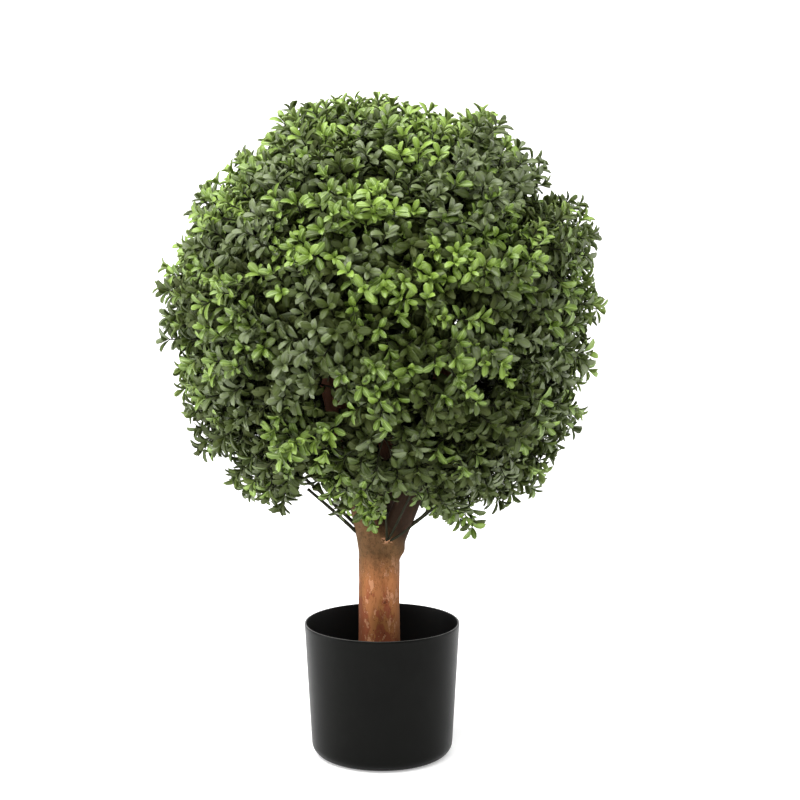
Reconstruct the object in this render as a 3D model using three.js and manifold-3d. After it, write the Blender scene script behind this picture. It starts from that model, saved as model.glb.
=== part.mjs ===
// Box topiary ball: an artificial box bush clipped to a ball, on a forked wooden trunk in a plain black pot.
// Millimetres, +Z up. The origin is the middle of the pot's flat underside, and the front looks along -Y.
import * as THREE from 'three';
import { mergeVertices } from 'three/addons/utils/BufferGeometryUtils.js';
import Module from 'manifold-3d';

const wasm = await Module();
wasm.setup();

// ---------------------------------------------------------------- driving dimensions
const CLEARANCE = 0.3; // air between pieces that touch

const POT = { height: 124, rimRadius: 71.5, footRadius: 65.3, cornerRadius: 12, wall: 2, floor: 4 };
const POT_SIDES = 48;
const FILLER = { top: 72, sides: 32 }; // cast filler that holds the trunk
const SOCKET_DEPTH = 20; // how far the trunk's flat cut sits below the filler's top

const TRUNK = { x: -2.7, radius: 19.1, shoulder: 184, crotch: 207, crotchRadius: 8 };
const FORK_TOP = 222; // the trunk's piece ends here, where its three limbs stand apart
// Each limb leaves the trunk's middle and bends outwards and up, thinning to its tip inside the crown.
const LIMBS = {
  left: {
    path: [[-4, 0, 150], [-7, -2, 190], [-13, -4, 222], [-30, -8, 285], [-46, -12, 346], [-56, -14, 392]],
    foot: 15.2, tip: 8.5,
  },
  right: {
    path: [[-1, 0, 150], [2, -1, 178], [9, -3, 203], [18.5, -5, 226], [35, -9, 270], [49, -12, 320], [57, -14, 368]],
    foot: 13.6, tip: 8,
  },
  back: {
    path: [[-2, 0, 150], [-1, 9, 190], [1, 22.5, 222], [2, 34, 270], [0, 42, 330], [-3, 44, 385]],
    foot: 11.8, tip: 7.5,
  },
};

// Thin plastic stems round the fork, which bow outwards into the crown: [start, bow, end].
const STEMS = {
  left_low: [[-17, -5, 204], [-45, -12, 222], [-72, -16, 246]],
  left_high: [[-17, 2, 208], [-50, 10, 232], [-78, 16, 254]],
  right_low: [[17, -4, 212], [46, -8, 238], [70, -12, 262]],
  front_left: [[0, -8, 203], [2, -26, 226], [0, -52, 256]],
  front_right: [[6, -8, 204], [20, -26, 226], [27, -48, 255]],
  front_outer: [[10, -8, 206], [32, -22, 222], [50, -40, 252]],
};
const STEM = { foot: 2, tip: 1.5, sides: 6, steps: 6 };

// The crown is a clipped ball, a little fuller below its middle than above it.
const CROWN = {
  centre: new THREE.Vector3(-4, 0, 415),
  radius: 196,
  above: { height: 191, power: 2 },
  below: { height: 205, power: 2.5 },
};
// Hand shears leave the ball uneven, seen from the front: [degrees from +X towards +Z, mm out or in].
const SHEAR_MARKS = [
  [22, 17], [41, -8], [57, 9], [76, -5], [110, 8], [134, -12], [160, -6],
  [180, 8], [199, -10], [229, -8], [252, -26], [300, -4], [322, 11], [340, -3],
];
const MARK_SPREAD = 9; // degrees
const CORE = { outer: 0.84, inner: 0.74, lump: 0.015 }; // shares of the crown's outline
const WELL = { x: 3, radius: 56, top: 300 }; // the open foot of the crown, where the limbs go in
const THROAT = { x: 5, halfWidth: 32, front: -150, back: 40, top: 262 }; // kept open, so the fork shows

const HEART = new THREE.Vector3(-4, -4, 436); // where the crown's own stem divides into its arms
const TRUNKLET = { foot: 7, tip: 6, sides: 6, steps: 2 }; // the crown's stem, up from the back limb's tip
const ARMS = 12;
const ARM = { foot: 4, tip: 3, sides: 3, sunk: 0.79 };

const TWIGS = 90; // over the whole crown
const TWIG = { foot: 3.4, tip: 2.6, start: 0.79, leafReach: 26, jitter: 0.05 };
const LEAF = { length: 41, width: 20, thickness: 2.8, widest: 0.56, sink: 1.4 };
const LEAF_PAIRS = [
  { back: 0, lean: 40 }, // mm back from the twig's tip, and degrees off the twig
  { back: 12, lean: 50 },
];
const WOOD_CLEAR = 1.2; // foliage keeps this far off every limb and stem

const COLOURS = {
  pot: { color: 0x1b1b1a, roughness: 0.45 },
  filler: { color: 0x2a2927, roughness: 0.95 },
  bark: { color: 0x93623c, roughness: 0.8 },
  stem: { color: 0x2c3a24, roughness: 0.6 },
  leaf: { color: 0x5f8a38, roughness: 0.5 },
};

// ---------------------------------------------------------------- small helpers
const point = (x, y, z) => new THREE.Vector3(x, y, z);
const degrees = THREE.MathUtils.degToRad;
const { lerp, mapLinear, smoothstep } = THREE.MathUtils;

// A seeded stream of numbers from 0 to 1 (mulberry32), so that every build grows the same bush.
function seeded(seed) {
  let state = seed >>> 0;
  return () => {
    state = (state + 0x6d2b79f5) >>> 0;
    let mixed = Math.imul(state ^ (state >>> 15), state | 1);
    mixed ^= mixed + Math.imul(mixed ^ (mixed >>> 7), mixed | 61);
    return ((mixed ^ (mixed >>> 14)) >>> 0) / 4294967296;
  };
}

function solidFrom(geometry) {
  const shape = geometry.clone();
  shape.deleteAttribute('normal');
  shape.deleteAttribute('uv');
  const merged = mergeVertices(shape, 1e-3);
  return new wasm.Manifold(new wasm.Mesh({
    numProp: 3,
    vertProperties: merged.attributes.position.array,
    triVerts: new Uint32Array(merged.index.array),
  }));
}

function geometryFrom(solid) {
  const { numProp, vertProperties, triVerts } = solid.getMesh();
  const corners = new Float32Array(triVerts.length * 3);
  triVerts.forEach((vertex, i) => {
    for (let axis = 0; axis < 3; axis++) corners[i * 3 + axis] = vertProperties[vertex * numProp + axis];
  });
  const geometry = new THREE.BufferGeometry();
  geometry.setAttribute('position', new THREE.BufferAttribute(corners, 3));
  geometry.computeVertexNormals();
  return geometry;
}

// The largest body of a solid: cutting can leave a loose scrap, which the bush doesn't have.
function largestBody(solid) {
  return solid.decompose().reduce((best, body) => (body.volume() > best.volume() ? body : best));
}

function piece(name, solid, finish) {
  const material = new THREE.MeshStandardMaterial({ ...finish, metalness: 0, flatShading: true });
  const mesh = new THREE.Mesh(geometryFrom(solid), material);
  mesh.name = name;
  return mesh;
}

// A round bar bent along a curve: radiusAt(share, angle) gives its radius, and grow fattens it all round.
function barAlong(curve, radiusAt, sides, steps, grow = 0) {
  const bar = new THREE.CylinderGeometry(1, 1, 1, sides, steps);
  const frames = curve.computeFrenetFrames(steps, false);
  const place = bar.attributes.position;
  for (let i = 0; i < place.count; i++) {
    const step = Math.round((place.getY(i) + 0.5) * steps);
    const [across, forward] = [place.getX(i), place.getZ(i)];
    const radius = radiusAt(step / steps, Math.atan2(forward, across)) + grow;
    const spot = curve.getPointAt(step / steps)
      .addScaledVector(frames.normals[step], across * radius)
      .addScaledVector(frames.binormals[step], -forward * radius);
    place.setXYZ(i, spot.x, spot.y, spot.z);
  }
  return solidFrom(bar);
}

const taper = ({ foot, tip }) => (share) => lerp(foot, tip, share);

// ---------------------------------------------------------------- pot and filler
// Profiles are turned about Z: each point is (radius, height), from the axis and back to it.
function turned(profile, sides) {
  return solidFrom(new THREE.LatheGeometry(profile, sides).rotateX(Math.PI / 2));
}

// A quarter-round corner from the flat of the foot up to the side.
function footArc(radius, cornerRadius, bottom, steps) {
  return Array.from({ length: steps + 1 }, (_, i) => {
    const turn = (i / steps) * (Math.PI / 2);
    return new THREE.Vector2(
      radius - cornerRadius + cornerRadius * Math.sin(turn),
      bottom + cornerRadius * (1 - Math.cos(turn)),
    );
  });
}

const potInside = (height) => mapLinear(
  height, POT.cornerRadius, POT.height, POT.footRadius, POT.rimRadius,
) - POT.wall;

function makePot() {
  const lip = POT.wall * 0.3;
  return turned([
    new THREE.Vector2(0, 0),
    ...footArc(POT.footRadius, POT.cornerRadius, 0, 5),
    new THREE.Vector2(POT.rimRadius, POT.height - lip),
    new THREE.Vector2(POT.rimRadius - lip, POT.height),
    new THREE.Vector2(POT.rimRadius - POT.wall + lip, POT.height),
    new THREE.Vector2(POT.rimRadius - POT.wall, POT.height - lip),
    ...footArc(POT.footRadius - POT.wall, POT.cornerRadius - POT.wall, POT.floor, 3).reverse(),
    new THREE.Vector2(0, POT.floor),
  ], POT_SIDES);
}

function makeFiller() {
  const bottom = POT.floor + CLEARANCE;
  const inset = CLEARANCE + 0.5; // the half millimetre keeps its flats inside the pot's
  return turned([
    new THREE.Vector2(0, bottom),
    ...footArc(POT.footRadius - POT.wall - inset, POT.cornerRadius - POT.wall, bottom, 3),
    new THREE.Vector2(potInside(FILLER.top) - inset, FILLER.top),
    new THREE.Vector2(0, FILLER.top),
  ], FILLER.sides).subtract(makeTrunkBar(CLEARANCE));
}

// ---------------------------------------------------------------- trunk and its three limbs
for (const limb of Object.values(LIMBS)) {
  limb.curve = new THREE.CatmullRomCurve3(limb.path.map(([x, y, z]) => point(x, y, z)));
  limb.radiusAt = (share) => lerp(limb.foot, limb.tip, share ** 1.3);
}

// The trunk is a barely oval pole whose radius shrinks only above its shoulder, between the limbs.
function trunkRadius(height, angle) {
  const oval = 0.35 * Math.sin(2 * angle + 0.6) + 0.3 * Math.sin(3 * angle + height / 55);
  return lerp(TRUNK.radius, TRUNK.crotchRadius, smoothstep(height, TRUNK.shoulder, TRUNK.crotch)) + oval;
}

function makeTrunkBar(grow = 0) {
  const foot = FILLER.top - SOCKET_DEPTH - grow;
  const curve = new THREE.LineCurve3(point(TRUNK.x, 0, foot), point(TRUNK.x, 0, TRUNK.crotch));
  const heightAt = (share) => lerp(foot, TRUNK.crotch, share);
  return barAlong(curve, (share, angle) => trunkRadius(heightAt(share), angle), 24, 14, grow);
}

const makeLimbBar = ({ curve, radiusAt }, grow = 0) => barAlong(curve, radiusAt, 14, 14, grow);

function slab(bottom, top) {
  const side = 300;
  return solidFrom(new THREE.BoxGeometry(side, side, top - bottom).translate(0, 0, (bottom + top) / 2));
}

function makeTrunk() {
  const stubs = Object.values(LIMBS).map((limb) => makeLimbBar(limb));
  return wasm.Manifold.union([makeTrunkBar(), ...stubs]).intersect(slab(0, FORK_TOP));
}

const makeLimb = (limb) => makeLimbBar(limb).intersect(slab(FORK_TOP + CLEARANCE, 500));

function makeWood(grow) {
  return wasm.Manifold.union([makeTrunkBar(grow), ...Object.values(LIMBS).map((limb) => makeLimbBar(limb, grow))]);
}

// ---------------------------------------------------------------- stems round the fork
const stemCurves = Object.fromEntries(Object.entries(STEMS).map(([name, spots]) => [
  name, new THREE.QuadraticBezierCurve3(...spots.map((spot) => point(...spot))),
]));

const makeStemBar = (curve, grow = 0) => barAlong(curve, taper(STEM), STEM.sides, STEM.steps, grow);

// ---------------------------------------------------------------- the crown's outline
// How far the shears went outside or inside the even ball. The marks run back from the silhouette that
// the front view has, and fade towards the middle of the front and of the back.
function shearMark({ x, z }) {
  const turn = THREE.MathUtils.radToDeg(Math.atan2(z, x));
  return (x * x + z * z) * SHEAR_MARKS.reduce((sum, [at, height]) => {
    const away = THREE.MathUtils.euclideanModulo(turn - at + 180, 360) - 180;
    return sum + height * Math.exp(-((away / MARK_SPREAD) ** 2));
  }, 0);
}

// How far the clipped outline lies from the crown's centre along a direction.
function outline(direction) {
  const level = Math.hypot(direction.x, direction.y);
  const { height, power } = direction.z >= 0 ? CROWN.above : CROWN.below;
  const evenBall = ((level / CROWN.radius) ** power + (Math.abs(direction.z) / height) ** power) ** (-1 / power);
  return evenBall + shearMark(direction);
}

const onCrown = (direction, share, inset = 0) => CROWN.centre.clone()
  .addScaledVector(direction, share * outline(direction) - inset);

// Directions that lie evenly over the ball on a golden-angle spiral, each pushed aside a little by the seed.
function evenAims(count, jitter, random) {
  const goldenAngle = Math.PI * (3 - Math.sqrt(5));
  return Array.from({ length: count }, (_, i) => {
    const height = 1 - (2 * i + 1) / count;
    const level = Math.sqrt(1 - height * height);
    const push = () => jitter * (2 * random() - 1);
    return point(
      level * Math.cos(i * goldenAngle) + push(), level * Math.sin(i * goldenAngle) + push(), height + push(),
    ).normalize();
  });
}

// ---------------------------------------------------------------- what foliage keeps clear of
const woodRuns = [
  ...Object.values(LIMBS).map(({ curve, foot }) => ({ spots: curve.getSpacedPoints(16), radius: foot })),
  ...Object.values(stemCurves).map((curve) => ({ spots: curve.getSpacedPoints(6), radius: STEM.foot })),
];

function touchesWood(spot) {
  const run = new THREE.Line3();
  const nearest = new THREE.Vector3();
  return woodRuns.some(({ spots, radius }) => spots.slice(1).some((end, i) => {
    run.set(spots[i], end).closestPointToPoint(spot, true, nearest);
    return nearest.distanceTo(spot) < radius + WOOD_CLEAR;
  }));
}

const isInThroat = ({ x, y, z }) => Math.abs(x - THROAT.x) < THROAT.halfWidth
  && y > THROAT.front && y < THROAT.back && z < THROAT.top;

const fits = (spots) => spots.every((spot) => !isInThroat(spot) && !touchesWood(spot));

// ---------------------------------------------------------------- the crown's core
// A ball on the crown's outline at a share of its size, with shallow seeded lumps.
function ball(share, detail, lump) {
  const random = seeded(7);
  const shape = mergeVertices(
    new THREE.IcosahedronGeometry(1, detail).deleteAttribute('uv').deleteAttribute('normal'),
  );
  const place = shape.attributes.position;
  for (let i = 0; i < place.count; i++) {
    const direction = new THREE.Vector3().fromBufferAttribute(place, i).normalize();
    const spot = onCrown(direction, share * (1 + lump * (2 * random() - 1)));
    place.setXYZ(i, spot.x, spot.y, spot.z);
  }
  return solidFrom(shape);
}

function makeCore() {
  const well = new THREE.CylinderGeometry(WELL.radius, WELL.radius, WELL.top, 16)
    .rotateX(Math.PI / 2).translate(WELL.x, 0, WELL.top / 2);
  return ball(CORE.outer, 4, CORE.lump).subtract(ball(CORE.inner, 2, 0)).subtract(solidFrom(well));
}

// ---------------------------------------------------------------- the crown's stem and arms
function makeFrame() {
  const limbTip = LIMBS.back.curve.getPointAt(1);
  const stem = barAlong(
    new THREE.LineCurve3(limbTip, HEART), taper(TRUNKLET), TRUNKLET.sides, TRUNKLET.steps,
  );
  const arms = evenAims(ARMS, 0, seeded(1))
    .map((aim) => new THREE.LineCurve3(HEART, onCrown(aim, ARM.sunk)))
    .filter((curve) => fits(curve.getSpacedPoints(8)))
    .map((curve) => barAlong(curve, taper(ARM), ARM.sides, 1));
  return [stem, ...arms];
}

// ---------------------------------------------------------------- twigs and leaves
// One leaf: an eight-faced blade, its foot at the origin, its length along +Y and its upper face along +Z.
function leafBlade() {
  const blade = new THREE.OctahedronGeometry(1).scale(LEAF.width / 2, LEAF.length / 2, LEAF.thickness / 2);
  const place = blade.attributes.position;
  for (let i = 0; i < place.count; i++) {
    const isEnd = Math.abs(place.getY(i)) > LEAF.length / 4;
    place.setY(i, isEnd ? place.getY(i) + LEAF.length / 2 : LEAF.widest * LEAF.length);
  }
  return blade;
}

function leafAt(foot, along, up) {
  const side = new THREE.Vector3().crossVectors(along, up).normalize();
  const face = new THREE.Vector3().crossVectors(side, along);
  const place = new THREE.Matrix4().makeBasis(side, along, face)
    .setPosition(foot.clone().addScaledVector(along, -LEAF.sink));
  return leafBlade().applyMatrix4(place);
}

function cornersOf(geometry) {
  const place = geometry.attributes.position;
  return Array.from({ length: place.count }, (_, i) => new THREE.Vector3().fromBufferAttribute(place, i));
}

// A twig stands out of the core to its tip, with opposite pairs of leaves, each pair turned a quarter
// from the last.
function growTwig(aim, random) {
  const foot = onCrown(aim, TWIG.start);
  const tip = onCrown(aim, 1, TWIG.leafReach);
  const run = tip.clone().sub(foot).normalize();
  const anyAcross = new THREE.Vector3().crossVectors(run, point(0.31, 0.52, 0.8)).normalize();
  const roll = random() * Math.PI;
  const leaves = LEAF_PAIRS.flatMap(({ back, lean }, pair) => [0, 1].map((half) => {
    const turn = roll + (pair * Math.PI) / 2 + half * Math.PI + 0.3 * (random() - 0.5);
    const tilt = degrees(lean + 14 * (random() - 0.5));
    const across = anyAcross.clone().applyAxisAngle(run, turn);
    const along = run.clone().multiplyScalar(Math.cos(tilt)).addScaledVector(across, Math.sin(tilt));
    return leafAt(tip.clone().addScaledVector(run, -back), along.normalize(), run);
  }));
  if (!fits([foot, tip])) return [];
  return [
    barAlong(new THREE.LineCurve3(foot, tip), taper(TWIG), 3, 1),
    ...leaves.filter((leaf) => fits(cornersOf(leaf))).map(solidFrom),
  ];
}

function makeFoliage() {
  const random = seeded(2026);
  const twigs = evenAims(TWIGS, TWIG.jitter, random).flatMap((aim) => growTwig(aim, random));
  const stems = Object.values(stemCurves).map((curve) => makeStemBar(curve, CLEARANCE));
  const grown = wasm.Manifold.union([makeCore(), ...makeFrame(), ...twigs]);
  return largestBody(grown.subtract(wasm.Manifold.union([makeWood(CLEARANCE), ...stems])));
}

// ---------------------------------------------------------------- assembly
const topiary = new THREE.Group();
topiary.add(piece('pot', makePot(), COLOURS.pot));
topiary.add(piece('filler', makeFiller(), COLOURS.filler));
topiary.add(piece('trunk', makeTrunk(), COLOURS.bark));
for (const [name, limb] of Object.entries(LIMBS)) {
  topiary.add(piece(`limb_${name}`, makeLimb(limb), COLOURS.bark));
}
const clearWood = makeWood(CLEARANCE);
for (const [name, curve] of Object.entries(stemCurves)) {
  topiary.add(piece(`stem_${name}`, largestBody(makeStemBar(curve).subtract(clearWood)), COLOURS.stem));
}
topiary.add(piece('foliage_ball', makeFoliage(), COLOURS.leaf));

export default topiary;
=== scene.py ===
# %% [markdown]
# # A box ball on a forked trunk
# This is an artificial topiary: some two thousand moulded box sprigs in a crown that is clipped to a ball,
# on a real piece of forked wood that is cast into a plain black pot. The solids come from the frame, and
# every Blender piece is laid over them at their own size. The seeded rule that grew the solid crown is
# written again here, and goes on from its twigs to sprigs and single leaves.

# %% Load the frame
import math

import bmesh
import bpy
import numpy as np
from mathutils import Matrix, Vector, noise


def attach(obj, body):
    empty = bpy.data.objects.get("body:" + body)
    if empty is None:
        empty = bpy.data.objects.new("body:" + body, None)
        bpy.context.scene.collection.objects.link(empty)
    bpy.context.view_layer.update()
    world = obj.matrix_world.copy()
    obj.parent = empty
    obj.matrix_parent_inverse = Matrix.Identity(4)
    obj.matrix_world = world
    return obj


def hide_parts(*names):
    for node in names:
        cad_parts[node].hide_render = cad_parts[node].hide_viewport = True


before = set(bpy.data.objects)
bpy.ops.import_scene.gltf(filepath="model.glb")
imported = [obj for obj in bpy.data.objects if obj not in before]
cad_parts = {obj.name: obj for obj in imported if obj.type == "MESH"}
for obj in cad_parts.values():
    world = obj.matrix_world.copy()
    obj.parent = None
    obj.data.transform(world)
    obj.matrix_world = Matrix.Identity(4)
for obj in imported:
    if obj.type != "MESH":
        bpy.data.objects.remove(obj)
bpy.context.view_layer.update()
MM = 0.001

# %% [markdown]
# ## The camera
# The plant is seen from a little above its own middle, a good way off, so that the rim of the pot is a
# flat ellipse. The lens is long for that reason: a short one would bend the ball. The camera looks a
# touch to the right of the pot, which leaves the pot left of the middle of the picture.

# %% Camera
scene = bpy.context.scene
camera = bpy.data.objects.new("camera", bpy.data.cameras.new("camera"))
camera.data.lens = 80
camera.data.sensor_width = 36
camera.location = (0, -1.6, 0.54)
look_at = Vector((0.0165, 0, 0.33))
camera.rotation_euler = (look_at - camera.location).to_track_quat("-Z", "Y").to_euler()
scene.collection.objects.link(camera)
scene.camera = camera
print("camera distance:", round((look_at - camera.location).length, 3))

# %% [markdown]
# ## Helpers for finished pieces
# A piece is modelled in a bmesh, then becomes a mesh object that sits at the origin, with its place in its
# mesh. It rides on the one body of the part. Its normals are recalculated here, once, after its seams are
# merged.

# %% Piece helpers
WELD = 1e-6  # metres: corners closer than this become one


def finish_piece(name, shape, materials):
    bmesh.ops.remove_doubles(shape, verts=shape.verts, dist=WELD)
    bmesh.ops.recalc_face_normals(shape, faces=shape.faces)
    mesh = bpy.data.meshes.new(name)
    shape.to_mesh(mesh)
    shape.free()
    return place_piece(name, mesh, materials)


def place_piece(name, mesh, materials):
    mesh.polygons.foreach_set("use_smooth", [True] * len(mesh.polygons))
    for material in materials:
        mesh.materials.append(material)
    piece = bpy.data.objects.new(name, mesh)
    scene.collection.objects.link(piece)
    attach(piece, "root")
    mesh.update()
    triangles = sum(len(face.vertices) - 2 for face in mesh.polygons)
    print(f"{name}: {triangles} triangles")
    return piece


def spin_profile(profile, steps):
    """A turned shape: the profile is a list of (radius, height) in millimetres."""
    shape = bmesh.new()
    spots = [shape.verts.new((radius * MM, 0, height * MM)) for radius, height in profile]
    line = [shape.edges.new(pair) for pair in zip(spots, spots[1:])]
    bmesh.ops.spin(
        shape, geom=spots + line, cent=(0, 0, 0), axis=(0, 0, 1), angle=math.tau, steps=steps, use_merge=True,
    )
    bmesh.ops.remove_doubles(shape, verts=shape.verts, dist=WELD)
    return shape


# %% [markdown]
# ## Shared finishes
# Two effects turn up in more than one material, so each is a node group with its own inputs. *Mottle*
# mixes two colours by soft noise, which keeps a large plain face from looking printed. *Grain* gives a
# height for a Bump node, which is what stops moulded plastic from looking like glass.

# %% Node helpers
def new_group(name, inputs, outputs):
    group = bpy.data.node_groups.new(name, "ShaderNodeTree")
    for label, kind, value in inputs:
        socket = group.interface.new_socket(label, in_out="INPUT", socket_type=kind)
        socket.default_value = value
    for label, kind in outputs:
        group.interface.new_socket(label, in_out="OUTPUT", socket_type=kind)
    enter = group.nodes.new("NodeGroupInput")
    leave = group.nodes.new("NodeGroupOutput")
    return group, enter, leave


def object_coordinates(tree, scale=(1, 1, 1)):
    place = tree.nodes.new("ShaderNodeTexCoord")
    mapping = tree.nodes.new("ShaderNodeMapping")
    mapping.inputs["Scale"].default_value = scale
    tree.links.new(place.outputs["Object"], mapping.inputs["Vector"])
    return mapping.outputs["Vector"]


def noise_node(tree, vector, scale, detail=3.0, roughness=0.55, distortion=0.0):
    pattern = tree.nodes.new("ShaderNodeTexNoise")
    pattern.inputs["Scale"].default_value = scale
    pattern.inputs["Detail"].default_value = detail
    pattern.inputs["Roughness"].default_value = roughness
    pattern.inputs["Distortion"].default_value = distortion
    tree.links.new(vector, pattern.inputs["Vector"])
    return pattern.outputs["Fac"]


def ramp_node(tree, value, stops):
    """stops: (position, colour), the colour as four numbers."""
    ramp = tree.nodes.new("ShaderNodeValToRGB")
    elements = ramp.color_ramp.elements
    while len(elements) < len(stops):
        elements.new(0.5)
    for element, (position, colour) in zip(elements, stops):
        element.position = position
        element.color = colour
    tree.links.new(value, ramp.inputs["Fac"])
    return ramp.outputs["Color"]


# %% Mixing colours
def feed(tree, value, socket):
    """Link another node's output to a socket, or set a plain number or colour on it."""
    if hasattr(value, "is_output"):
        tree.links.new(value, socket)
    else:
        socket.default_value = value


def mix_node(tree, factor, first, second):
    mix = tree.nodes.new("ShaderNodeMix")
    mix.data_type = "RGBA"
    for socket, value in ((mix.inputs[0], factor), (mix.inputs[6], first), (mix.inputs[7], second)):
        feed(tree, value, socket)
    return mix.outputs[2]


def srgb(red, green, blue):
    """A colour as a painter picks it, 0 to 255, turned into the linear light that shaders work in."""
    def linear(value):
        value /= 255
        return value / 12.92 if value <= 0.04045 else ((value + 0.055) / 1.055) ** 2.4
    return (linear(red), linear(green), linear(blue), 1.0)


print("middle grey in linear light:", round(srgb(128, 128, 128)[0], 3))

# %% Mottle and Grain
mottle, enter, leave = new_group(
    "Mottle",
    [("Light", "NodeSocketColor", (0.8, 0.8, 0.8, 1)), ("Dark", "NodeSocketColor", (0.2, 0.2, 0.2, 1)),
     ("Scale", "NodeSocketFloat", 60.0)],
    [("Color", "NodeSocketColor"), ("Mask", "NodeSocketFloat")],
)
spread = noise_node(mottle, object_coordinates(mottle), 60)
spread_scale = mottle.nodes[-1].inputs["Scale"]
mottle.links.new(enter.outputs["Scale"], spread_scale)
mottle_mix = mix_node(mottle, spread, enter.outputs["Dark"], enter.outputs["Light"])
mottle.links.new(mottle_mix, leave.inputs["Color"])
mottle.links.new(spread, leave.inputs["Mask"])

grain, enter, leave = new_group(
    "Grain", [("Scale", "NodeSocketFloat", 900.0)], [("Height", "NodeSocketFloat")],
)
fine = noise_node(grain, object_coordinates(grain), 900, detail=2)
grain.links.new(enter.outputs["Scale"], grain.nodes[-1].inputs["Scale"])
grain.links.new(fine, leave.inputs["Height"])
print("node groups:", [group.name for group in bpy.data.node_groups])


# %% Material helpers
def new_material(name, roughness, **constants):
    material = bpy.data.materials.new(name)
    material.use_nodes = True
    shader = material.node_tree.nodes["Principled BSDF"]
    shader.inputs["Roughness"].default_value = roughness
    for label, value in constants.items():
        shader.inputs[label.replace("_", " ")].default_value = value
    return material, material.node_tree, shader


def add_group(tree, group, **values):
    node = tree.nodes.new("ShaderNodeGroup")
    node.node_tree = group
    for label, value in values.items():
        node.inputs[label].default_value = value
    return node


def add_bump(tree, shader, height, strength, distance):
    bump = tree.nodes.new("ShaderNodeBump")
    bump.inputs["Strength"].default_value = strength
    bump.inputs["Distance"].default_value = distance
    tree.links.new(height, bump.inputs["Height"])
    tree.links.new(bump.outputs["Normal"], shader.inputs["Normal"])


# %% [markdown]
# ## Black plastic
# The pot is a moulded nursery pot. Its plastic is black with a faint sheen, and its surface has a very fine
# grain from the mould. The colour varies only a little, and the grain goes into a Bump node. The inside is a
# duller black, painted lighter than the outside as painted light against the shade in the pot. The rounded
# edge of the rim is painted pale grey, a painted highlight.

# %% Pot plastic
def mottled(name, roughness, sheen, light, dark, scale):
    """A material in two close tints. The sheen is the strength of its mirror-like shine."""
    material, tree, shader = new_material(name, roughness, Specular_IOR_Level=sheen)
    colour = add_group(tree, mottle, Light=light, Dark=dark, Scale=scale)
    tree.links.new(colour.outputs["Color"], shader.inputs["Base Color"])
    return material, tree, shader


def add_grain(tree, shader, scale, strength, distance):
    texture = add_group(tree, grain, Scale=scale)
    add_bump(tree, shader, texture.outputs["Height"], strength, distance)


MOULD_GRAIN = 1300.0, 0.25, 0.0004
pot_plastic, tree, shader = mottled("pot_plastic", 0.34, 0.055, srgb(15, 16, 14), srgb(10, 10, 9), 34.0)
add_grain(tree, shader, *MOULD_GRAIN)
# Painted light: the inside plastic is a lighter black than the outside, against the shade inside the pot.
pot_inside_lightened, tree, shader = mottled("pot_inside_lightened", 0.6, 0.1, srgb(23, 23, 23), srgb(14, 14, 14), 26.0)
add_grain(tree, shader, *MOULD_GRAIN)
# Painted highlight: the rim's rounded edge is a pale grey, where light would catch it.
pot_rim_highlight, tree, shader = mottled("pot_rim_highlight", 0.42, 0.3, srgb(74, 74, 72), srgb(58, 58, 56), 60.0)
print("pot plastics:", pot_plastic.name, pot_inside_lightened.name, pot_rim_highlight.name)

# %% [markdown]
# ## The pot
# A pot is round about its axis, so its wall's section is drawn once and spun. The section runs from the
# middle of the underside, round the foot's soft corner and up the slightly flared side, over a thin
# rounded rim, and down the inside to the floor. Each face then takes the plastic of its own part.

# %% Pot
POT_HEIGHT, RIM_RADIUS, FOOT_RADIUS, CORNER_RADIUS, POT_WALL, POT_FLOOR = 124, 71.5, 65.3, 12, 2, 4
HOLLOW_RADIUS, FOOT_RING_RADIUS, HOLLOW_RISE = 46, 47.5, 0.6  # the underside is raised inside its foot
EDGE_DEPTH, POT_STEPS = 0.7, 128


def quarter_round(radius, corner, bottom, steps):
    turns = [step / steps * math.pi / 2 for step in range(steps + 1)]
    return [
        (radius - corner + corner * math.sin(turn), bottom + corner * (1 - math.cos(turn))) for turn in turns
    ]


def side_radius(height):
    share = (height - CORNER_RADIUS) / (POT_HEIGHT - CORNER_RADIUS)
    return FOOT_RADIUS + (RIM_RADIUS - FOOT_RADIUS) * share


outer_side = [(side_radius(height), height) for height in (30, 60, 90, 114, 119)]
RIM_SECTION = [(-0.05, -2.8), (0, -1.4), (-0.25, -0.4), (-0.9, 0), (-1.6, -0.4), (-1.9, -1.6)]
rim = [(RIM_RADIUS + out, POT_HEIGHT + up) for out, up in RIM_SECTION]
inner_side = [(side_radius(height) - POT_WALL, height) for height in (118, 90, 60, 30)]
pot_profile = (
    [(0, HOLLOW_RISE), (HOLLOW_RADIUS, HOLLOW_RISE), (FOOT_RING_RADIUS, 0)]
    + quarter_round(FOOT_RADIUS, CORNER_RADIUS, 0, 8)
    + outer_side + rim + inner_side
    + quarter_round(FOOT_RADIUS - POT_WALL, CORNER_RADIUS - POT_WALL, POT_FLOOR, 6)[::-1]
    + [(0, POT_FLOOR)]
)
pot_shape = spin_profile(pot_profile, POT_STEPS)
# EDGE is the rim's top, which takes the painted highlight.
OUTSIDE, INSIDE, EDGE = range(3)
for face in pot_shape.faces:
    middle = face.calc_center_median() / MM
    within = math.hypot(middle.x, middle.y) < side_radius(middle.z) - POT_WALL * 0.6
    if middle.z > POT_HEIGHT - EDGE_DEPTH:
        face.material_index = EDGE
    else:
        face.material_index = INSIDE if within and middle.z > POT_FLOOR - 1 else OUTSIDE
pot = finish_piece("pot_shell", pot_shape, [pot_plastic, pot_inside_lightened, pot_rim_highlight])
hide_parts("pot")

# %% [markdown]
# ## The cast filler
# The trunk stands in charcoal-coloured cement, a few centimetres below the rim. Cement that was poured and
# left has a slightly uneven top, so the spun disc's inner rings are lifted and dropped by noise.

# %% Filler
PLAIN_SHEEN = 0.5
filler_cement, tree, shader = mottled(
    "filler_cement", 0.95, PLAIN_SHEEN, srgb(52, 50, 47), srgb(24, 24, 23), 140.0)
add_grain(tree, shader, 420.0, 0.6, 0.0012)

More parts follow.
